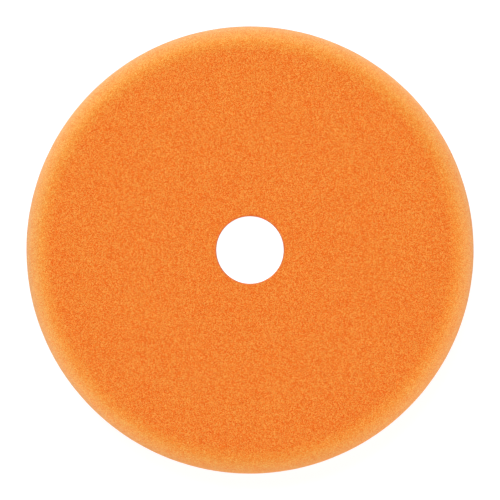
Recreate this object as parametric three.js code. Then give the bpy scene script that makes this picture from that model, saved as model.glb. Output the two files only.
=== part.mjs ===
// A foam polishing pad for a dual-action car polisher: a ring of open-cell foam with a shaped working edge,
// bonded by a hot-melt film to the knitted cloth of a hook-and-loop backing, whose brushed loops grip the
// machine's backing plate.
//
// Millimetres, +Z up. The origin is the centre of the face that the loop tips make, which lies against the
// backing plate. +Z runs along the spin axis, through the centre hole, to the working face.
import * as THREE from "three";

// The whole pad
const padDiameter = 145; // at its widest, a little below the working face
const boreDiameter = 22; // the centre hole, cut through every layer
const turnSegments = 96; // flats in one full turn
const arcSegments = 4; // steps in each half of a profile's arc

// The foam ring
const foamThickness = 23;
const edgeBand = 9; // width of the shaped edge, from the flat of the face out to the widest point
const shoulderRadius = 7; // rounds the face over into the bevel
const bevelSlope = 50; // degrees that the bevel falls below the plane of the face
const rimRadius = 9; // rounds the bevel into the side wall, through the widest point
const wallLean = 15; // degrees that the side wall leans in, from the widest point down to the back
const boreLip = 0.6; // rounds the mouth of the centre hole

// The layers bonded to the foam's back
const filmThickness = 0.3;
const filmMargin = 0.8; // from the foam's back edge in to the film
const clothThickness = 0.6;
const clothMargin = 1.2; // from the foam's back edge in to the cloth
const pileHeight = 1.6;
const pileMargin = 0.4; // bare cloth left around the loops, at the outer edge and at the hole

// How high each layer starts above the backing plate
const clothBase = pileHeight;
const filmBase = clothBase + clothThickness;
const foamBase = filmBase + filmThickness;

const padRadius = padDiameter / 2;
const boreRadius = boreDiameter / 2;

// The outline of the foam's outer edge, from the end of the flat face down to the back. Arcs and lines are
// tangent to each other: shoulder arc, bevel, rim arc, leaning wall.
function foamEdge() {
  const slope = THREE.MathUtils.degToRad(bevelSlope);
  const lean = THREE.MathUtils.degToRad(wallLean);

  const shoulderCentre = new THREE.Vector2(padRadius - edgeBand, foamThickness - shoulderRadius);
  const bevelTop = new THREE.Vector2(
    shoulderCentre.x + shoulderRadius * Math.sin(slope),
    shoulderCentre.y + shoulderRadius * Math.cos(slope),
  );
  const bevelFootX = padRadius - rimRadius + rimRadius * Math.sin(slope);
  const bevelFootY = bevelTop.y - (bevelFootX - bevelTop.x) * Math.tan(slope);
  const rimCentre = new THREE.Vector2(padRadius - rimRadius, bevelFootY - rimRadius * Math.cos(slope));
  const wallTop = new THREE.Vector2(
    rimCentre.x + rimRadius * Math.cos(lean),
    rimCentre.y - rimRadius * Math.sin(lean),
  );
  const backRadius = wallTop.x - wallTop.y * Math.tan(lean);
  return { slope, lean, shoulderCentre, rimCentre, backRadius };
}

const edge = foamEdge();

// A closed profile of radius against height, turned once about Z.
function turned(profile) {
  profile.closePath();
  const geometry = new THREE.LatheGeometry(profile.getPoints(arcSegments), turnSegments);
  return geometry.rotateX(Math.PI / 2);
}

function ringProfile(innerRadius, outerRadius, thickness) {
  const profile = new THREE.Path();
  profile.moveTo(innerRadius, 0);
  profile.lineTo(outerRadius, 0);
  profile.lineTo(outerRadius, thickness);
  profile.lineTo(innerRadius, thickness);
  return profile;
}

function foamProfile() {
  const profile = new THREE.Path();
  const upright = Math.PI / 2;
  profile.moveTo(boreRadius, 0);
  profile.lineTo(edge.backRadius, 0);
  profile.absarc(edge.rimCentre.x, edge.rimCentre.y, rimRadius, -edge.lean, upright - edge.slope, false);
  profile.absarc(
    edge.shoulderCentre.x, edge.shoulderCentre.y, shoulderRadius, upright - edge.slope, upright, false,
  );
  profile.absarc(boreRadius + boreLip, foamThickness - boreLip, boreLip, upright, Math.PI, false);
  return profile;
}

function layer(name, profile, base, look) {
  const mesh = new THREE.Mesh(turned(profile), new THREE.MeshStandardMaterial(look));
  mesh.name = name;
  mesh.position.z = base;
  return mesh;
}

// The open-cell foam that carries the polish
function foamRing() {
  return layer("foam_ring", foamProfile(), foamBase, { color: 0xf28232, roughness: 0.95, metalness: 0 });
}

// The hot-melt film that bonds the cloth to the foam
function bondFilm() {
  const profile = ringProfile(boreRadius, edge.backRadius - filmMargin, filmThickness);
  return layer("bond_film", profile, filmBase, { color: 0xd9c9a3, roughness: 0.35, metalness: 0 });
}

// The knitted ground cloth that holds the loops
function backingCloth() {
  const profile = ringProfile(boreRadius, edge.backRadius - clothMargin, clothThickness);
  return layer("backing_cloth", profile, clothBase, { color: 0xc9cacc, roughness: 0.9, metalness: 0 });
}

// The brushed loops, as the ring of space that they fill
function loopPile() {
  const profile = ringProfile(
    boreRadius + pileMargin, edge.backRadius - clothMargin - pileMargin, pileHeight,
  );
  return layer("loop_pile", profile, 0, { color: 0xe4e5e6, roughness: 1, metalness: 0 });
}

const backing = new THREE.Group();
backing.add(bondFilm(), backingCloth(), loopPile());

const pad = new THREE.Group();
pad.add(foamRing(), backing);

export default pad;
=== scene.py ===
import math

import bmesh
import bpy
import numpy as np
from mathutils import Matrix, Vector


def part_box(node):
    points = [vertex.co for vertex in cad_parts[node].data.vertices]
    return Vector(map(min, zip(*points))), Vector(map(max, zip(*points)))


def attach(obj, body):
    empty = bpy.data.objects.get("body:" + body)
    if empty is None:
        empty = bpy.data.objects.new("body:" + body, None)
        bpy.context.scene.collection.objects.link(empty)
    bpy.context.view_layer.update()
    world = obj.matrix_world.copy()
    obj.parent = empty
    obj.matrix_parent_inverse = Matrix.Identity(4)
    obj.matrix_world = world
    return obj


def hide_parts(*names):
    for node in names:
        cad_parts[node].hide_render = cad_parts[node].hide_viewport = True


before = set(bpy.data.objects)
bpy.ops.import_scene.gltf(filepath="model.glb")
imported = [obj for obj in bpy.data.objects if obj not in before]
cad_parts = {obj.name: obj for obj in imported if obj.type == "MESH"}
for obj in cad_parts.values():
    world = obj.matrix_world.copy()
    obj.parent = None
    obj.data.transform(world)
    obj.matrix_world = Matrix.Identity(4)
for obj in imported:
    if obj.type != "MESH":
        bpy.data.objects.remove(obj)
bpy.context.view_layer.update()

print("frame loaded:", sorted(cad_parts))


# node trees

def addNode(tree, kind, inputs=None, **settings):
    node = tree.nodes.new(kind)
    for name, value in settings.items():
        setattr(node, name, value)
    for name, value in (inputs or {}).items():
        if isinstance(value, bpy.types.NodeSocket):
            tree.links.new(value, node.inputs[name])
        else:
            node.inputs[name].default_value = value
    return node


def calculate(tree, operation, *values):
    node = addNode(tree, "ShaderNodeMath", dict(enumerate(values)), operation=operation)
    return node.outputs[0]


def remap(tree, value, fromRange, toRange, curve="LINEAR"):
    node = addNode(tree, "ShaderNodeMapRange", {
        "Value": value, "From Min": fromRange[0], "From Max": fromRange[1],
        "To Min": toRange[0], "To Max": toRange[1]}, interpolation_type=curve)
    return node.outputs[0]


def scaledColor(tree, color, factor):
    node = addNode(tree, "ShaderNodeVectorMath", {0: color, "Scale": factor}, operation="SCALE")
    return node.outputs[0]


def noiseOf(tree, place, size, detail, distortion=0.0):
    node = addNode(tree, "ShaderNodeTexNoise", {
        "Vector": place, "Scale": 1 / size, "Detail": detail, "Distortion": distortion})
    return node.outputs[0]


def openTree(name, kind, inputs, outputs):
    # inputs are (label, kind of socket, starting value)
    tree = bpy.data.node_groups.new(name, kind)
    for label, socketKind, value in inputs:
        socket = tree.interface.new_socket(label, in_out="INPUT", socket_type=socketKind)
        if value is not None:
            socket.default_value = value
    for label, socketKind in outputs:
        tree.interface.new_socket(label, in_out="OUTPUT", socket_type=socketKind)
    into = tree.nodes.new("NodeGroupInput").outputs
    outOf = tree.nodes.new("NodeGroupOutput").inputs
    return tree, into, outOf


def growMesh(source, tree, values, name):
    # runs a Geometry Nodes tree on an object and keeps the result as a plain mesh
    modifier = source.modifiers.new(tree.name, "NODES")
    modifier.node_group = tree
    for item in tree.interface.items_tree:
        if item.item_type == "SOCKET" and item.in_out == "INPUT" and item.name in values:
            modifier[item.identifier] = values[item.name]
    graph = bpy.context.evaluated_depsgraph_get()
    mesh = bpy.data.meshes.new_from_object(
        source.evaluated_get(graph), preserve_all_data_layers=True, depsgraph=graph)
    mesh.name = name
    source.modifiers.remove(modifier)
    grown = bpy.data.objects.new(name, mesh)
    bpy.context.scene.collection.objects.link(grown)
    return grown


def turnOutwards(piece):
    shell = bmesh.new()
    shell.from_mesh(piece.data)
    bmesh.ops.recalc_face_normals(shell, faces=shell.faces)
    shell.to_mesh(piece.data)
    shell.free()


# sizes read from the frame

def radiusSpan(node):
    # the bore radius and the outer radius of a turned CAD node
    reach = [math.hypot(v.co.x, v.co.y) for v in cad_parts[node].data.vertices]
    return min(reach), max(reach)


def heightSpan(node):
    low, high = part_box(node)
    return low.z, high.z


# every layer of the pad is an outline turned round the spin axis, with a roughened skin

weldDistance = 1e-6
hiddenSteps = 5  # rings of faces on the side of a layer that its neighbour covers


def turnedLayerTree():
    tree, into, outOf = openTree("turnedLayer", "GeometryNodeTree", [
        ("Outline", "NodeSocketGeometry", None),
        ("Segments", "NodeSocketInt", 256),
        ("Step", "NodeSocketFloat", 0.001),
        ("Corner Steps", "NodeSocketInt", 12),
        ("Path Radius", "NodeSocketFloat", 0.05),
        ("Grain Size", "NodeSocketFloat", 0.001),
        ("Grain Depth", "NodeSocketFloat", 0.0),
        ("Swell Size", "NodeSocketFloat", 0.02),
        ("Swell Depth", "NodeSocketFloat", 0.0),
        ("Seed", "NodeSocketFloat", 0.0),
        ("Material", "NodeSocketMaterial", None),
    ], [("Geometry", "NodeSocketGeometry")])

    rounding = addNode(tree, "GeometryNodeInputRadius").outputs[0]  # each corner carries its rounding
    rounded = addNode(tree, "GeometryNodeFilletCurve", {
        "Curve": into["Outline"], "Radius": rounding, "Count": into["Corner Steps"]}, mode="POLY")
    which = addNode(tree, "GeometryNodeInputIndex").outputs[0]
    isSkin = addNode(tree, "FunctionNodeCompare", {2: which, 3: 0}, data_type="INT", operation="EQUAL")
    stepped = addNode(tree, "GeometryNodeResampleCurve", {
        "Curve": rounded.outputs[0], "Selection": isSkin.outputs[0], "Length": into["Step"]},
        mode="LENGTH")

    # how far along the outline a point is, and 1 on the hidden side, for the roughening and the map
    along = addNode(tree, "GeometryNodeSplineParameter").outputs["Length"]
    hiddenRun = addNode(tree, "GeometryNodeFieldOnDomain", {0: which}, domain="CURVE", data_type="FLOAT")
    place = addNode(tree, "ShaderNodeCombineXYZ", {"X": along, "Y": hiddenRun.outputs[0]}).outputs[0]
    marked = addNode(tree, "GeometryNodeStoreNamedAttribute", {
        "Geometry": stepped.outputs[0], "Name": "unrolled", "Value": place},
        data_type="FLOAT_VECTOR", domain="POINT")

    inward = calculate(tree, "MULTIPLY", into["Path Radius"], -1.0)
    shift = addNode(tree, "ShaderNodeCombineXYZ", {"X": inward}).outputs[0]
    placed = addNode(tree, "GeometryNodeTransform", {
        "Geometry": marked.outputs[0], "Translation": shift, "Scale": (1.0, -1.0, 1.0)})
    path = addNode(tree, "GeometryNodeCurvePrimitiveCircle", {
        "Resolution": into["Segments"], "Radius": into["Path Radius"]})
    swept = addNode(tree, "GeometryNodeCurveToMesh", {
        "Curve": path.outputs[0], "Profile Curve": placed.outputs[0]})
    unrolled = addNode(tree, "GeometryNodeInputNamedAttribute", {"Name": "unrolled"},
                       data_type="FLOAT_VECTOR")
    byCorner = addNode(tree, "GeometryNodeStoreNamedAttribute", {
        "Geometry": swept.outputs[0], "Name": "cornerUnrolled", "Value": unrolled.outputs[0]},
        data_type="FLOAT_VECTOR", domain="CORNER")
    closed = addNode(tree, "GeometryNodeMergeByDistance", {
        "Geometry": byCorner.outputs[0], "Distance": weldDistance})

    def ripple(size, depth):
        scale = calculate(tree, "DIVIDE", 1.0, size)
        noise = addNode(tree, "ShaderNodeTexNoise", {
            "W": into["Seed"], "Scale": scale, "Detail": 1.0}, noise_dimensions="4D")
        return calculate(tree, "MULTIPLY", calculate(tree, "SUBTRACT", noise.outputs[0], 0.5), depth)

    lift = calculate(tree, "ADD",
                     ripple(into["Grain Size"], into["Grain Depth"]),
                     ripple(into["Swell Size"], into["Swell Depth"]))
    hidden = addNode(tree, "ShaderNodeSeparateXYZ", {0: unrolled.outputs[0]}).outputs["Y"]
    lift = calculate(tree, "MULTIPLY", lift, calculate(tree, "SUBTRACT", 1.0, hidden))
    normal = addNode(tree, "GeometryNodeInputNormal").outputs[0]
    offset = addNode(tree, "ShaderNodeVectorMath", {0: normal, "Scale": lift}, operation="SCALE")
    roughened = addNode(tree, "GeometryNodeSetPosition", {
        "Geometry": closed.outputs[0], "Offset": offset.outputs[0]})
    smooth = addNode(tree, "GeometryNodeSetShadeSmooth", {"Geometry": roughened.outputs[0]})
    whole = addNode(tree, "GeometryNodeRealizeInstances", {"Geometry": smooth.outputs[0]})
    finished = addNode(tree, "GeometryNodeSetMaterial", {
        "Geometry": whole.outputs[0], "Material": into["Material"]})
    tree.links.new(finished.outputs[0], outOf["Geometry"])
    return tree


layerTree = turnedLayerTree()


def turnLayer(name, skin, hidden, look, material):
    # skin and hidden are the two runs of the outline, each point as (radius, height, rounding)
    outline = bpy.data.curves.new(name + "Outline", "CURVE")
    outline.dimensions = "3D"
    for run in (skin, hidden):
        spline = outline.splines.new("POLY")
        spline.points.add(len(run) - 1)
        for point, (radius, height, rounding) in zip(spline.points, run):
            point.co = (radius, height, 0, 1)
            point.radius = rounding
    source = bpy.data.objects.new(name + "Outline", outline)
    bpy.context.scene.collection.objects.link(source)
    layer = growMesh(source, layerTree, {
        "Segments": look["segments"], "Step": look["step"], "Path Radius": skin[0][0],
        "Grain Size": look["grainSize"], "Grain Depth": look["grainDepth"],
        "Swell Size": look["swellSize"], "Swell Depth": look["swellDepth"],
        "Seed": look["seed"], "Material": material,
    }, name)
    bpy.data.objects.remove(source)
    turnOutwards(layer)
    unrollLayer(layer.data, skin)
    return layer


bakeMap = {
    "discRadius": 0.492,  # lengths as shares of the map's side
    "patchSide": 0.125,
    "patchMargin": 0.006,
    "patchFill": 0.92,  # how much of its patch a piece of the bore wall spans
    "backFill": 0.96,
    "boreParts": 3,
}


def unrollLayer(mesh, skin):
    # the map for the bake: the skin unrolled as one disc, a third of the bore wall in each of
    # three corners of the square, and the hidden side, small, in the fourth
    corners = len(mesh.loops)
    vertexOf = np.empty(corners, np.int32)
    mesh.loops.foreach_get("vertex_index", vertexOf)
    at = np.empty(len(mesh.vertices) * 3)
    mesh.vertices.foreach_get("co", at)
    at = at.reshape(-1, 3)[vertexOf]
    unrolled = np.empty(corners * 3)
    mesh.attributes["cornerUnrolled"].data.foreach_get("vector", unrolled)
    along, hidden = unrolled.reshape(-1, 3)[:, :2].T
    sides = np.empty(len(mesh.polygons), np.int32)
    mesh.polygons.foreach_get("loop_total", sides)
    faceOf = np.repeat(np.arange(len(sides)), sides)

    def faceMean(values):
        return (np.bincount(faceOf, values) / sides)[faceOf]

    boreRadius = skin[0][0]
    boreLength = abs(skin[1][1] - skin[0][1])
    unfolded = boreRadius + along - boreLength
    turn = np.arctan2(at[:, 1], at[:, 0])
    reach = bakeMap["discRadius"] * unfolded / unfolded.max()
    uv = 0.5 + np.stack([reach * np.cos(turn), reach * np.sin(turn)], 1)

    patchSide, near, parts = bakeMap["patchSide"], bakeMap["patchMargin"], bakeMap["boreParts"]
    far = 1 - patchSide - near
    patchStart = np.array([(near, near), (far, near), (far, far), (near, far)])
    fullTurn = 2 * math.pi
    middle = np.arctan2(faceMean(np.sin(turn)), faceMean(np.cos(turn)))
    fromSeam = middle + (turn - middle + math.pi) % fullTurn  # the turn, with no jump inside a face
    part = np.clip(((middle + math.pi) / fullTurn * parts).astype(int), 0, parts - 1)
    isBack = faceMean(hidden) > 0.5
    inBore = (faceMean(along) < boreLength) & ~isBack
    boreUv = np.stack([fromSeam / fullTurn * parts - part, along / boreLength], 1)
    boreUv = patchStart[part] + patchSide * (0.5 + bakeMap["patchFill"] * (boreUv - 0.5))
    uv[inBore] = boreUv[inBore]
    backUv = at[:, :2] / np.abs(at[:, :2]).max() / 2
    backUv = patchStart[-1] + patchSide * (0.5 + bakeMap["backFill"] * backUv)
    uv[isBack] = backUv[isBack]

    layer = mesh.uv_layers.new(name="OFBake")
    layer.data.foreach_set("uv", uv.astype(np.float32).ravel())
    for name in ("unrolled", "cornerUnrolled"):
        mesh.attributes.remove(mesh.attributes[name])


def evenSteps(first, last, count):
    return [first + (last - first) * i / count for i in range(count + 1)]


# finishes

def openMaterial(name):
    material = bpy.data.materials.new(name)
    material.use_nodes = True
    tree = material.node_tree
    shader = tree.nodes["Principled BSDF"]
    return material, tree, shader


def objectPlace(tree):
    return addNode(tree, "ShaderNodeTexCoord").outputs["Object"]


def softMottleGroup():
    # slow, faint unevenness of tone; its Factor lies about 1
    tree, into, outOf = openTree("softMottle", "ShaderNodeTree", [
        ("Vector", "NodeSocketVector", None),
        ("Patch Size", "NodeSocketFloat", 0.01),
        ("Strength", "NodeSocketFloat", 0.1),
    ], [("Factor", "NodeSocketFloat")])
    scale = calculate(tree, "DIVIDE", 1.0, into["Patch Size"])
    noise = addNode(tree, "ShaderNodeTexNoise", {
        "Vector": into["Vector"], "Scale": scale, "Detail": 3.0, "Roughness": 0.6}).outputs[0]
    swing = calculate(tree, "MULTIPLY", calculate(tree, "SUBTRACT", noise, 0.5), into["Strength"])
    tree.links.new(calculate(tree, "ADD", swing, 1.0), outOf["Factor"])
    return tree


softMottle = softMottleGroup()


def mottled(tree, color, place, look):
    node = addNode(tree, "ShaderNodeGroup")
    node.node_tree = softMottle
    tree.links.new(place, node.inputs["Vector"])
    node.inputs["Patch Size"].default_value = look["patchSize"]
    node.inputs["Strength"].default_value = look["patchStrength"]
    return scaledColor(tree, color, node.outputs["Factor"])


def toneRamp(tree, tone, stops):
    # stops are (position, colour)
    node = addNode(tree, "ShaderNodeValToRGB", {"Fac": tone})
    (firstAt, firstColor), *between, (lastAt, lastColor) = stops
    first, last = node.color_ramp.elements
    first.position, first.color = firstAt, (*firstColor, 1)
    last.position, last.color = lastAt, (*lastColor, 1)
    for position, color in between:
        node.color_ramp.elements.new(position).color = (*color, 1)
    return node.outputs[0]


def mixColors(tree, factor, first, second):
    # sockets 0, 6 and 7 are the factor and the two colours
    return addNode(tree, "ShaderNodeMix", {0: factor, 6: first, 7: second}, data_type="RGBA").outputs[2]


def addBump(tree, shader, height, look):
    bump = addNode(tree, "ShaderNodeBump", {
        "Height": height, "Strength": look["bump"], "Distance": look["bumpDepth"]})
    tree.links.new(bump.outputs[0], shader.inputs["Normal"])


def addSheen(shader, look):
    shader.inputs["Sheen Weight"].default_value = look["sheen"]
    shader.inputs["Sheen Roughness"].default_value = look["sheenRoughness"]


# foam ring

foam = {
    "edgeBand": 0.009,
    "shoulderRadius": 0.007,
    "bevelSlope": math.radians(50),
    "rimRadius": 0.009,
    "wallLean": math.radians(15),
    "boreLip": 0.0006,
    "segments": 512,
    "step": 0.00068,
    "grainSize": 0.0016,
    "grainDepth": 0.00005,
    "swellSize": 0.012,
    "swellDepth": 0.00012,
    "seed": 3.0,
    "cell": 0.0004,
    "strutEdge": 0.4,  # how far into a cell its struts reach, as a share of the cell
    "strutShare": 0.65,
    "poreShare": 0.3,
    "speck": 0.00018,
    "speckShare": 0.65,
    "clumpSize": 0.0012,
    "clumpShare": 0.1,
    "toneOffset": 0.40,
    "toneStops": (0.05, 0.5, 0.95),
    "faceTones": ((0.87, 0.079, 0.000), (0.94, 0.200, 0.006), (0.97, 0.41, 0.080)),
    # partly painted light: the shoulder is brighter and yellower than its cut cells alone
    "shoulderTonesWithPaintedLight": ((0.90, 0.165, 0.000), (0.95, 0.312, 0.021), (0.98, 0.54, 0.110)),
    # partly a painted whitish sheen over the rim's paler cut cells
    "rimTonesWithPaintedSheen": ((0.95, 0.265, 0.045), (0.99, 0.400, 0.105), (1.00, 0.61, 0.230)),
    "paleFrom": (0.030, 0.045),  # the radii over which it starts to get paler, clear of the hole's wall
    "shoulderDepth": 0.0024,  # depths below the face
    "shoulderCurve": 0.5,
    "rimDepth": (0.0008, 0.0062),
    "rimCurve": 1.5,
    "wallDepth": (0.0075, 0.0115),
    "wallShare": 0.25,
    "brightness": (0.86, 1.0),
    "roughness": (0.85, 1.0),
    "bump": 0.35,
    "bumpDepth": 0.00015,
    "specular": 0.1,
    "sheen": 0.15,  # the fuzz of cut strut ends
    "sheenTint": (1.0, 0.95, 0.90, 1),
    "sheenRoughness": 0.65,
}


def foamMaterial():
    material, tree, shader = openMaterial("orangeFoam")
    place = objectPlace(tree)
    cellScale = 1 / foam["cell"]
    cells = addNode(tree, "ShaderNodeTexVoronoi", {"Vector": place, "Scale": cellScale})
    walls = addNode(tree, "ShaderNodeTexVoronoi", {"Vector": place, "Scale": cellScale},
                    feature="DISTANCE_TO_EDGE")
    pore = addNode(tree, "ShaderNodeSeparateColor", {"Color": cells.outputs["Color"]}).outputs[0]
    strut = remap(tree, walls.outputs["Distance"], (0.0, foam["strutEdge"]), (1.0, 0.0), "SMOOTHSTEP")
    clumps = noiseOf(tree, place, foam["clumpSize"], detail=2.0)
    specks = addNode(tree, "ShaderNodeTexVoronoi", {"Vector": place, "Scale": 1 / foam["speck"]})
    chances = addNode(tree, "ShaderNodeSeparateColor", {"Color": specks.outputs["Color"]}).outputs
    speck, speckLight = chances[0], chances[1]
    # struts are pale, and how deep the pore behind them looks differs from cell to cell
    pore = calculate(tree, "MULTIPLY", pore, foam["poreShare"])
    tone = calculate(tree, "MULTIPLY_ADD", strut, foam["strutShare"], pore)
    tone = calculate(tree, "SUBTRACT", tone, foam["toneOffset"])
    tone = calculate(tree, "MULTIPLY_ADD", speck, foam["speckShare"], tone)
    clumps = calculate(tree, "SUBTRACT", clumps, 0.5)
    tone = calculate(tree, "MULTIPLY_ADD", clumps, foam["clumpShare"], tone)
    onFace = toneRamp(tree, tone, zip(foam["toneStops"], foam["faceTones"]))
    onShoulderWithPaintedLight = toneRamp(tree, tone, zip(foam["toneStops"], foam["shoulderTonesWithPaintedLight"]))
    onRimWithPaintedSheen = toneRamp(tree, tone, zip(foam["toneStops"], foam["rimTonesWithPaintedSheen"]))
    # the shaped edge is cut through the cells, so it shows paler from the shoulder out to the rim;
    # part of that paleness is painted light: brighter shoulder tones and a painted whitish sheen on the
    # rim
    level = addNode(tree, "ShaderNodeVectorMath", {0: place, 1: (1.0, 1.0, 0.0)}, operation="MULTIPLY")
    fromAxis = addNode(tree, "ShaderNodeVectorMath", {0: level.outputs[0]}, operation="LENGTH")
    isEdge = remap(tree, fromAxis.outputs["Value"], foam["paleFrom"], (0.0, 1.0))
    height = addNode(tree, "ShaderNodeSeparateXYZ", {"Vector": place}).outputs["Z"]
    below = calculate(tree, "SUBTRACT", heightSpan("foam_ring")[1], height)
    below = calculate(tree, "MULTIPLY", below, isEdge)
    pastShoulder = remap(tree, below, (0.0, foam["shoulderDepth"]), (0.0, 1.0))
    pastShoulder = calculate(tree, "POWER", pastShoulder, foam["shoulderCurve"])
    pastBevel = remap(tree, below, foam["rimDepth"], (0.0, 1.0))
    pastBevel = calculate(tree, "POWER", pastBevel, foam["rimCurve"])
    downWall = remap(tree, below, foam["wallDepth"], (0.0, 1.0), "SMOOTHSTEP")
    color = mixColors(tree, pastShoulder, onFace, onShoulderWithPaintedLight)
    color = mixColors(tree, pastBevel, color, onRimWithPaintedSheen)
    # the wall keeps a share of the rim's tones, and so of its painted sheen
    onWall = mixColors(tree, foam["wallShare"], onFace, onRimWithPaintedSheen)
    color = mixColors(tree, downWall, color, onWall)
    color = scaledColor(tree, color, remap(tree, speckLight, (0.0, 1.0), foam["brightness"]))
    tree.links.new(color, shader.inputs["Base Color"])
    low, high = foam["roughness"]
    tree.links.new(remap(tree, tone, (0.0, 1.0), (high, low)), shader.inputs["Roughness"])
    addBump(tree, shader, tone, foam)
    shader.inputs["Specular IOR Level"].default_value = foam["specular"]
    shader.inputs["Sheen Tint"].default_value = foam["sheenTint"]
    addSheen(shader, foam)
    return material


def foamOutline():
    boreRadius, padRadius = radiusSpan("foam_ring")
    back, face = heightSpan("foam_ring")
    slope, lean = foam["bevelSlope"], foam["wallLean"]
    turn = math.pi / 2 + lean - slope  # how far the outline turns round the rim
    shoulderX = padRadius - foam["edgeBand"] + foam["shoulderRadius"] * math.tan(slope / 2)
    rimX = (padRadius - foam["rimRadius"] * (1 - math.sin(slope))
            + foam["rimRadius"] * math.tan(turn / 2) * math.cos(slope))
    rimZ = face - (rimX - shoulderX) * math.tan(slope)
    backX = rimX - (rimZ - back) * math.tan(lean)
    skin = [
        (boreRadius, back, 0),
        (boreRadius, face, foam["boreLip"]),
        (shoulderX, face, foam["shoulderRadius"]),
        (rimX, rimZ, foam["rimRadius"]),
        (backX, back, 0),
    ]
    hidden = [(radius, back, 0) for radius in evenSteps(backX, boreRadius, hiddenSteps)]
    return skin, hidden


foamSkin, foamBack = foamOutline()
foamRing = turnLayer("foamRing", foamSkin, foamBack, foam, foamMaterial())
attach(foamRing, "root")
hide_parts("foam_ring")
print("foam ring:", len(foamRing.data.polygons), "faces")


# hot-melt film between the foam and the cloth

film = {
    "segments": 384,
    "step": 0.0004,
    "grainSize": 0.0025,
    "grainDepth": 0.0001,
    "swellSize": 0.01,
    "swellDepth": 0.0003,
    "seed": 7.0,
    "flowSize": 0.0015,
    "flowRange": (0.3, 0.7),
    "tone": (0.72, 0.55, 0.34),
    "thickTone": (0.60, 0.40, 0.20),
    "patchSize": 0.008,
    "patchStrength": 0.3,
    "roughness": (0.25, 0.5),
    "bump": 0.4,
    "bumpDepth": 0.0002,
    "coat": 0.2,
}


def filmMaterial():
    material, tree, shader = openMaterial("hotMeltFilm")
    place = objectPlace(tree)
    flow = noiseOf(tree, place, film["flowSize"], detail=3.0)
    color = toneRamp(tree, flow, zip(film["flowRange"], (film["thickTone"], film["tone"])))
    tree.links.new(mottled(tree, color, place, film), shader.inputs["Base Color"])
    tree.links.new(remap(tree, flow, film["flowRange"], film["roughness"]), shader.inputs["Roughness"])
    addBump(tree, shader, flow, film)
    shader.inputs["Coat Weight"].default_value = film["coat"]
    return material


def flatOutline(node, rounding=0.0, rise=0.0):
    # the top is hidden by the layer above; rise lifts the underside from where the CAD node's is
    inner, outer = radiusSpan(node)
    low, high = heightSpan(node)
    low += rise
    skin = [(inner, high, 0), (inner, low, rounding), (outer, low, rounding), (outer, high, 0)]
    hidden = [(radius, high, 0) for radius in evenSteps(outer, inner, hiddenSteps)]
    return skin, hidden


bondFilm = turnLayer("bondFilm", *flatOutline("bond_film"), film, filmMaterial())
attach(bondFilm, "root")
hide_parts("bond_film")
print("bond film:", len(bondFilm.data.polygons), "faces")


# knitted ground cloth of the hook-and-loop backing

cloth = {
    "segments": 512,
    "step": 0.0006,
    "grainSize": 0.0008,
    "grainDepth": 0.00012,
    "swellSize": 0.009,
    "swellDepth": 0.00015,
    "seed": 11.0,
    "rounding": 0.0002,
    "wale": 0.00085,
    "course": 0.00065,
    "strandShare": 0.5,
    "toneStops": (0.1, 0.6),
    # painted shade in the gaps between the yarns
    "gapPaintedShade": (0.42, 0.41, 0.38),
    "yarnTone": (0.74, 0.73, 0.69),
    "patchSize": 0.02,
    "patchStrength": 0.15,
    "roughness": (0.95, 0.75),  # in the gaps, on the yarn
    "bump": 0.7,
    "bumpDepth": 0.0002,
    "specular": 0.3,
    "sheen": 0.3,
    "sheenRoughness": 0.4,
}

knit = {
    "wanderScale": 260.0,  # how often the columns wander, per metre
    "wanderReach": 0.0008,
    "slant": 0.22,
    "waleRise": 0.32,
    "courseRise": 0.18,
    "strandScale": 9000.0,
}


def knitGroup():
    # a warp knit: columns of loops that lean left and right by turns; Height nears 1 on the yarn
    tree, into, outOf = openTree("warpKnit", "ShaderNodeTree", [
        ("Vector", "NodeSocketVector", None),
        ("Wale Width", "NodeSocketFloat", 0.00085),
        ("Course Height", "NodeSocketFloat", 0.00065),
    ], [("Height", "NodeSocketFloat"), ("Strand", "NodeSocketFloat")])
    noise = addNode(tree, "ShaderNodeTexNoise", {
        "Vector": into["Vector"], "Scale": knit["wanderScale"]})
    wander = addNode(tree, "ShaderNodeVectorMath", {
        0: noise.outputs["Color"], 1: (0.5, 0.5, 0.5)}, operation="SUBTRACT")
    bent = addNode(tree, "ShaderNodeVectorMath", {
        0: wander.outputs[0], 1: (knit["wanderReach"],) * 3, 2: into["Vector"]},
        operation="MULTIPLY_ADD").outputs[0]
    split = addNode(tree, "ShaderNodeSeparateXYZ", {0: bent})
    across = calculate(tree, "DIVIDE", split.outputs["X"], into["Wale Width"])
    down = calculate(tree, "DIVIDE", split.outputs["Y"], into["Course Height"])
    # each stitch slants: its position across swings with the course
    swing = calculate(tree, "SINE", calculate(tree, "MULTIPLY", down, math.pi))
    leaning = calculate(tree, "ADD", across, calculate(tree, "MULTIPLY", swing, knit["slant"]))
    wales = calculate(tree, "COSINE", calculate(tree, "MULTIPLY", leaning, 2 * math.pi))
    courses = calculate(tree, "COSINE", calculate(tree, "MULTIPLY", down, 2 * math.pi))
    height = calculate(tree, "MULTIPLY_ADD", courses, knit["courseRise"], 0.5)
    height = calculate(tree, "MULTIPLY_ADD", wales, knit["waleRise"], height)
    strand = addNode(tree, "ShaderNodeTexNoise", {
        "Vector": bent, "Scale": knit["strandScale"], "Detail": 2.0})
    tree.links.new(height, outOf["Height"])
    tree.links.new(strand.outputs[0], outOf["Strand"])
    return tree


warpKnit = knitGroup()


def placeKnit(tree, place, look):
    node = addNode(tree, "ShaderNodeGroup")
    node.node_tree = warpKnit
    tree.links.new(place, node.inputs["Vector"])
    node.inputs["Wale Width"].default_value = look["wale"]
    node.inputs["Course Height"].default_value = look["course"]
    return node.outputs["Height"], node.outputs["Strand"]


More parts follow.
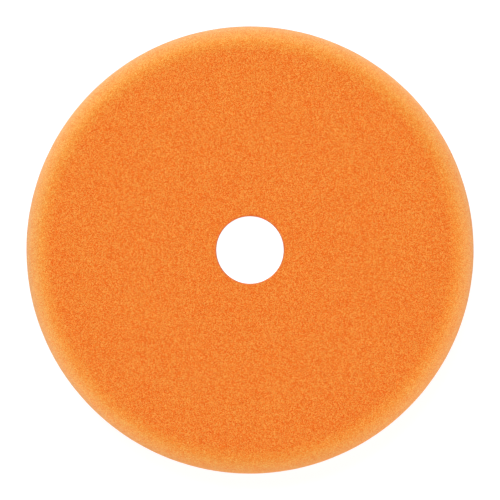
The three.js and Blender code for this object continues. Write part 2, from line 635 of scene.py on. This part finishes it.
def clothMaterial():
    material, tree, shader = openMaterial("groundKnit")
    place = objectPlace(tree)
    height, strand = placeKnit(tree, place, cloth)
    strand = calculate(tree, "SUBTRACT", strand, 0.5)
    tone = calculate(tree, "MULTIPLY_ADD", strand, cloth["strandShare"], height)
    # painted shade darkens the gaps between the yarns
    color = toneRamp(tree, tone, zip(cloth["toneStops"], (cloth["gapPaintedShade"], cloth["yarnTone"])))
    tree.links.new(mottled(tree, color, place, cloth), shader.inputs["Base Color"])
    tree.links.new(remap(tree, tone, (0.0, 1.0), cloth["roughness"]), shader.inputs["Roughness"])
    addBump(tree, shader, tone, cloth)
    shader.inputs["Specular IOR Level"].default_value = cloth["specular"]
    addSheen(shader, cloth)
    return material


clothSkin, clothHidden = flatOutline("backing_cloth", rounding=cloth["rounding"])
backingCloth = turnLayer("backingCloth", clothSkin, clothHidden, cloth, clothMaterial())
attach(backingCloth, "root")
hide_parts("backing_cloth")
print("backing cloth:", len(backingCloth.data.polygons), "faces")


# brushed nap over the cloth

nap = {
    "segments": 576,
    "step": 0.00062,
    "rise": 0.0011,  # from the loops' tips up to the nap
    "grainSize": 0.0013,
    "grainDepth": 0.0006,
    "swellSize": 0.006,
    "swellDepth": 0.0004,
    "seed": 19.0,
    "rounding": 0.0003,
    "fibre": 0.0005,
    "fibreWidth": 0.16,
    "runs": (0.3, 1.35, 2.4),  # the turns of the brushed runs
    "runStretch": (1.0, 0.16, 1.0),
    "runWaver": 0.6,
    "knitShare": 0.25,
    "fibreShare": 0.7,
    "toneStops": (0.1, 0.9),
    # painted shade deep in the nap, between the filaments
    "deepPaintedShade": (0.52, 0.51, 0.49),
    "tipTone": (0.86, 0.85, 0.82),
    "patchSize": 0.015,
    "patchStrength": 0.2,
    "roughRange": (0.3, 0.8),  # the tones over which the roughness changes
    "roughness": (1.0, 0.8),  # deep in the nap, at the tips
    "bump": 0.8,
    "bumpDepth": 0.0003,
    "specular": 0.3,
    "sheen": 0.5,
    "sheenRoughness": 0.5,
}


def napMaterial():
    material, tree, shader = openMaterial("brushedNap")
    place = objectPlace(tree)
    # brushed filaments: crossing runs of noise, each drawn out along its own direction
    filaments = None
    for angle in nap["runs"]:
        turned = addNode(tree, "ShaderNodeVectorRotate", {"Vector": place, "Angle": angle},
                         rotation_type="Z_AXIS").outputs[0]
        drawn = addNode(tree, "ShaderNodeVectorMath", {0: turned, 1: nap["runStretch"]},
                        operation="MULTIPLY").outputs[0]
        noise = noiseOf(tree, drawn, nap["fibre"], detail=1.0, distortion=nap["runWaver"])
        ridge = calculate(tree, "ABSOLUTE", calculate(tree, "MULTIPLY_ADD", noise, 2.0, -1.0))
        strands = remap(tree, ridge, (0.0, nap["fibreWidth"]), (1.0, 0.0), "SMOOTHSTEP")
        filaments = strands if filaments is None else calculate(tree, "MAXIMUM", filaments, strands)
    knitHeight = placeKnit(tree, place, cloth)[0]
    filaments = calculate(tree, "MULTIPLY", filaments, nap["fibreShare"])
    tone = calculate(tree, "MULTIPLY_ADD", knitHeight, nap["knitShare"], filaments)
    # painted shade deep in the nap, pale at the filaments' tips
    color = toneRamp(tree, tone, zip(nap["toneStops"], (nap["deepPaintedShade"], nap["tipTone"])))
    tree.links.new(mottled(tree, color, place, nap), shader.inputs["Base Color"])
    tree.links.new(remap(tree, tone, nap["roughRange"], nap["roughness"]), shader.inputs["Roughness"])
    addBump(tree, shader, tone, nap)
    shader.inputs["Specular IOR Level"].default_value = nap["specular"]
    addSheen(shader, nap)
    return material


napSkin, napHidden = flatOutline("loop_pile", rounding=nap["rounding"], rise=nap["rise"])
loopNap = turnLayer("loopNap", napSkin, napHidden, nap, napMaterial())
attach(loopNap, "root")
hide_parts("loop_pile")
print("loop nap:", len(loopNap.data.polygons), "faces")


# loops that stand out of the nap

loops = {
    "spacing": 0.00126,
    "density": 2.4e6,
    "height": 0.0013,
    "width": 0.0012,
    "yarnRadius": 0.00009,
    "bends": 6,
    "yarnSides": 3,
    "bulge": 0.85,  # how far out a loop's handles stand, as a share of its width
    "reach": 1.333,  # a Bezier arch comes three quarters of the way to its handles
    "widths": (0.7, 1.25),
    "heights": (0.72, 1.0),
    "lean": 0.55,
    "edgeInset": 0.0006,
    "seed": 5,
    "tones": [(0.0, (0.62, 0.61, 0.58)), (0.5, (0.80, 0.79, 0.76)), (1.0, (0.90, 0.89, 0.87))],
    "rootShade": 0.7,
    "shadedTo": 0.6,
    "roughness": (0.85, 0.6),  # at the roots, on the crown
    "specular": 0.4,
    "sheen": 0.4,
    "sheenRoughness": 0.35,
}


def yarnMaterial():
    # reads the loops' own map: across it one tint a loop, and up it the way from root to root
    material, tree, shader = openMaterial("loopYarn")
    ownMap = addNode(tree, "ShaderNodeUVMap", uv_map="OFBake").outputs[0]
    split = addNode(tree, "ShaderNodeSeparateXYZ", {0: ownMap})
    tint, along = split.outputs["X"], split.outputs["Y"]
    crown = calculate(tree, "SINE", calculate(tree, "MULTIPLY", along, math.pi))
    color = toneRamp(tree, tint, loops["tones"])
    shade = remap(tree, crown, (0.0, loops["shadedTo"]), (loops["rootShade"], 1.0))
    tree.links.new(scaledColor(tree, color, shade), shader.inputs["Base Color"])
    tree.links.new(remap(tree, crown, (0.0, 1.0), loops["roughness"]), shader.inputs["Roughness"])
    shader.inputs["Specular IOR Level"].default_value = loops["specular"]
    addSheen(shader, loops)
    return material


def standingLoopsTree():
    tree, into, outOf = openTree("standingLoops", "GeometryNodeTree", [
        ("Geometry", "NodeSocketGeometry", None),
        ("Inner Radius", "NodeSocketFloat", 0.011),
        ("Outer Radius", "NodeSocketFloat", 0.07),
        ("Root Height", "NodeSocketFloat", 0.001),
        ("Loop Height", "NodeSocketFloat", 0.001),
        ("Loop Width", "NodeSocketFloat", 0.001),
        ("Yarn Radius", "NodeSocketFloat", 0.0001),
        ("Yarn Sides", "NodeSocketInt", 3),
        ("Bends", "NodeSocketInt", 6),
        ("Spacing", "NodeSocketFloat", 0.0013),
        ("Density", "NodeSocketFloat", 1e6),
        ("Lean", "NodeSocketFloat", 0.5),
        ("Seed", "NodeSocketInt", 0),
        ("Material", "NodeSocketMaterial", None),
    ], [("Geometry", "NodeSocketGeometry")])

    # the roots: scattered evenly over a disc, less the hole in its middle
    disc = addNode(tree, "GeometryNodeMeshCircle", {"Vertices": 256, "Radius": into["Outer Radius"]},
                   fill_type="TRIANGLE_FAN")
    scattered = addNode(tree, "GeometryNodeDistributePointsOnFaces", {
        "Mesh": disc.outputs[0], "Distance Min": into["Spacing"], "Density Max": into["Density"],
        "Seed": into["Seed"]}, distribute_method="POISSON")
    place = addNode(tree, "GeometryNodeInputPosition").outputs[0]
    away = addNode(tree, "ShaderNodeVectorMath", {0: place}, operation="LENGTH").outputs["Value"]
    inHole = addNode(tree, "FunctionNodeCompare", {0: away, 1: into["Inner Radius"]},
                     data_type="FLOAT", operation="LESS_THAN").outputs[0]
    roots = addNode(tree, "GeometryNodeDeleteGeometry", {
        "Geometry": scattered.outputs[0], "Selection": inHole}, domain="POINT")

    def chance(low, high, salt):
        seed = calculate(tree, "ADD", into["Seed"], salt)
        return addNode(tree, "FunctionNodeRandomValue", {
            2: low, 3: high, "Seed": seed}, data_type="FLOAT").outputs[1]

    tinted = addNode(tree, "GeometryNodeStoreNamedAttribute", {
        "Geometry": roots.outputs[0], "Name": "tint", "Value": chance(0.0, 1.0, 1)},
        data_type="FLOAT", domain="POINT")

    # one loop, hanging from its two roots
    half = calculate(tree, "MULTIPLY", into["Loop Width"], 0.5)
    bulge = calculate(tree, "MULTIPLY", into["Loop Width"], loops["bulge"])
    drop = calculate(tree, "MULTIPLY", into["Loop Height"], -loops["reach"])

    def spot(x, z, sign):
        x = calculate(tree, "MULTIPLY", x, sign)
        return addNode(tree, "ShaderNodeCombineXYZ", {"X": x, "Z": z}).outputs[0]

    def marked(curve, name):
        # how far along itself each point of the curve is, from 0 to 1
        factor = addNode(tree, "GeometryNodeSplineParameter").outputs["Factor"]
        return addNode(tree, "GeometryNodeStoreNamedAttribute", {
            "Geometry": curve.outputs[0], "Name": name, "Value": factor},
            data_type="FLOAT", domain="POINT").outputs[0]

    arch = addNode(tree, "GeometryNodeCurvePrimitiveBezierSegment", {
        "Resolution": into["Bends"],
        "Start": spot(half, 0.0, -1.0), "Start Handle": spot(bulge, drop, -1.0),
        "End Handle": spot(bulge, drop, 1.0), "End": spot(half, 0.0, 1.0)})
    ring = addNode(tree, "GeometryNodeCurvePrimitiveCircle", {
        "Resolution": into["Yarn Sides"], "Radius": into["Yarn Radius"]})
    yarn = addNode(tree, "GeometryNodeCurveToMesh", {
        "Curve": marked(arch, "along"), "Profile Curve": marked(ring, "around"), "Fill Caps": True})

    turn = addNode(tree, "ShaderNodeCombineXYZ", {
        "X": chance(calculate(tree, "MULTIPLY", into["Lean"], -1.0), into["Lean"], 2),
        "Z": chance(0.0, 2 * math.pi, 3)}).outputs[0]
    turn = addNode(tree, "FunctionNodeEulerToRotation", {0: turn}).outputs[0]
    size = addNode(tree, "ShaderNodeCombineXYZ", {
        "X": chance(*loops["widths"], 4), "Y": 1.0, "Z": chance(*loops["heights"], 5)}).outputs[0]
    planted = addNode(tree, "GeometryNodeInstanceOnPoints", {
        "Points": tinted.outputs[0], "Instance": yarn.outputs[0], "Rotation": turn, "Scale": size})
    lift = addNode(tree, "ShaderNodeCombineXYZ", {"Z": into["Root Height"]}).outputs[0]
    whole = addNode(tree, "GeometryNodeRealizeInstances", {"Geometry": planted.outputs[0]})
    raised = addNode(tree, "GeometryNodeSetPosition", {"Geometry": whole.outputs[0], "Offset": lift})

    def named(name):
        return addNode(tree, "GeometryNodeInputNamedAttribute", {"Name": name},
                       data_type="FLOAT").outputs[0]

    # the loops' own map: a strip for each tint, as wide as the yarn's way round, inside a margin
    margin, strip, tints, length = 0.02, 0.06, 0.9, 0.96
    across = calculate(tree, "MULTIPLY_ADD", named("around"), strip, margin)
    across = calculate(tree, "MULTIPLY_ADD", named("tint"), tints, across)
    up = calculate(tree, "MULTIPLY_ADD", named("along"), length, margin)
    ownMap = addNode(tree, "ShaderNodeCombineXYZ", {"X": across, "Y": up}).outputs[0]
    mapped = addNode(tree, "GeometryNodeStoreNamedAttribute", {
        "Geometry": raised.outputs[0], "Name": "OFBake", "Value": ownMap},
        data_type="FLOAT2", domain="CORNER")
    smooth = addNode(tree, "GeometryNodeSetShadeSmooth", {"Geometry": mapped.outputs[0]})
    finished = addNode(tree, "GeometryNodeSetMaterial", {
        "Geometry": smooth.outputs[0], "Material": into["Material"]})
    tree.links.new(finished.outputs[0], outOf["Geometry"])
    return tree


def plantLoops():
    inner, outer = radiusSpan("loop_pile")
    blank = bpy.data.objects.new("loopRoots", bpy.data.meshes.new("loopRoots"))
    bpy.context.scene.collection.objects.link(blank)
    piece = growMesh(blank, standingLoopsTree(), {
        "Inner Radius": inner + loops["edgeInset"], "Outer Radius": outer - loops["edgeInset"],
        "Root Height": loops["height"] + loops["yarnRadius"],  # so the tips just touch the plate
        "Loop Height": loops["height"], "Loop Width": loops["width"], "Bends": loops["bends"],
        "Yarn Radius": loops["yarnRadius"], "Yarn Sides": loops["yarnSides"],
        "Spacing": loops["spacing"], "Density": loops["density"], "Lean": loops["lean"],
        "Seed": loops["seed"], "Material": yarnMaterial(),
    }, "standingLoops")
    bpy.data.objects.remove(blank)
    for name in ("tint", "along", "around"):
        if name in piece.data.attributes:
            piece.data.attributes.remove(piece.data.attributes[name])
    turnOutwards(piece)
    return piece


standingLoops = plantLoops()
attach(standingLoops, "root")
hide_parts("loop_pile")
print("standing loops:", len(standingLoops.data.polygons), "faces")


# the room round the pad

table = {
    "side": 8.0,
    "tone": 0.25,
    "glow": 0.90,
    "spotGlow": 1.05,  # under the hole
    "spotRadius": (0.012, 0.022),
    "farGlow": 1.0,  # well clear of the pad
    "farRadius": (0.1, 0.35),
    "spill": 0.5,  # how much of its glow reaches the pad
}


def layTable():
    mesh = bpy.data.meshes.new("lightTable")
    half = table["side"] / 2
    corners = [(-half, -half, 0), (half, -half, 0), (half, half, 0), (-half, half, 0)]
    mesh.from_pydata(corners, [], [(0, 1, 2, 3)])
    top = bpy.data.objects.new("lightTable", mesh)
    bpy.context.scene.collection.objects.link(top)
    material, tree, shader = openMaterial("opalSheet")
    away = addNode(tree, "ShaderNodeVectorMath", {0: objectPlace(tree)},
                   operation="LENGTH").outputs["Value"]
    spot = remap(tree, away, table["spotRadius"], (table["spotGlow"], table["glow"]), "SMOOTHSTEP")
    far = remap(tree, away, table["farRadius"], (0.0, table["farGlow"]), "SMOOTHSTEP")
    glow = calculate(tree, "MAXIMUM", spot, far)
    seen = addNode(tree, "ShaderNodeLightPath").outputs["Is Camera Ray"]
    glow = calculate(tree, "MULTIPLY", glow, remap(tree, seen, (0.0, 1.0), (table["spill"], 1.0)))
    tree.links.new(glow, shader.inputs["Emission Strength"])
    shader.inputs["Emission Color"].default_value = (1, 1, 1, 1)
    shader.inputs["Base Color"].default_value = (table["tone"],) * 3 + (1,)
    shader.inputs["Roughness"].default_value = 1.0
    shader.inputs["Specular IOR Level"].default_value = 0.0
    mesh.materials.append(material)


room = {"fill": 0.07, "backdrop": 1.0}  # the light it gives, and what the camera sees of it

lamps = {
    "highNorthPanel": {"place": (-0.26, 0.98, 2.17), "size": 0.85, "power": 39.8, "tint": (1, 1, 1)},
    "lowNorthPanel": {"place": (0.13, 1.44, 0.39), "size": 0.6, "power": 2.6, "tint": (1, 1, 1)},
    "southPanel": {"place": (0.16, -1.50, 0.55), "size": 0.6, "power": 17.2, "tint": (1, 0.82, 0.62)},
    "lowEastPanel": {"place": (1.25, 0.44, 0.14), "size": 0.6, "power": 10, "tint": (1, 0.84, 0.66)},
    "lowWestPanel": {"place": (-1.28, 0.44, 0.14), "size": 0.6, "power": 10.2, "tint": (1, 1, 1)},
}


def lightRoom():
    world = bpy.data.worlds.new("softTent")
    bpy.context.scene.world = world
    world.use_nodes = True
    tree = world.node_tree
    backdrop = tree.nodes["Background"]
    seen = addNode(tree, "ShaderNodeLightPath").outputs["Is Camera Ray"]
    backdrop.inputs["Color"].default_value = (1, 1, 1, 1)
    strength = remap(tree, seen, (0.0, 1.0), (room["fill"], room["backdrop"]))
    tree.links.new(strength, backdrop.inputs["Strength"])
    for name, lamp in lamps.items():
        light = bpy.data.lights.new(name, "AREA")
        light.size = lamp["size"]
        light.energy = lamp["power"]
        light.color = lamp["tint"]
        stand = bpy.data.objects.new(name, light)
        bpy.context.scene.collection.objects.link(stand)
        stand.location = lamp["place"]
        stand.rotation_euler = (-stand.location).to_track_quat("-Z", "Y").to_euler()
        stand.visible_camera = False


# padShare is how much of the frame's width the pad spans
camera = {"lens": 350, "sensor": 36, "padShare": 0.8946}


def placeCamera():
    view = bpy.data.cameras.new("copyStand")
    view.lens = camera["lens"]
    view.sensor_width = camera["sensor"]
    widest = max(foamRing.data.vertices, key=lambda v: math.hypot(v.co.x, v.co.y))
    diameter = 2 * radiusSpan("foam_ring")[1]
    distance = camera["lens"] / camera["sensor"] * diameter / camera["padShare"]
    stand = bpy.data.objects.new("copyStand", view)
    bpy.context.scene.collection.objects.link(stand)
    stand.location = (0, 0, widest.co.z + distance)
    bpy.context.scene.camera = stand


layTable()
lightRoom()
placeCamera()
bpy.context.scene.view_settings.view_transform = "Standard"
print("room ready")
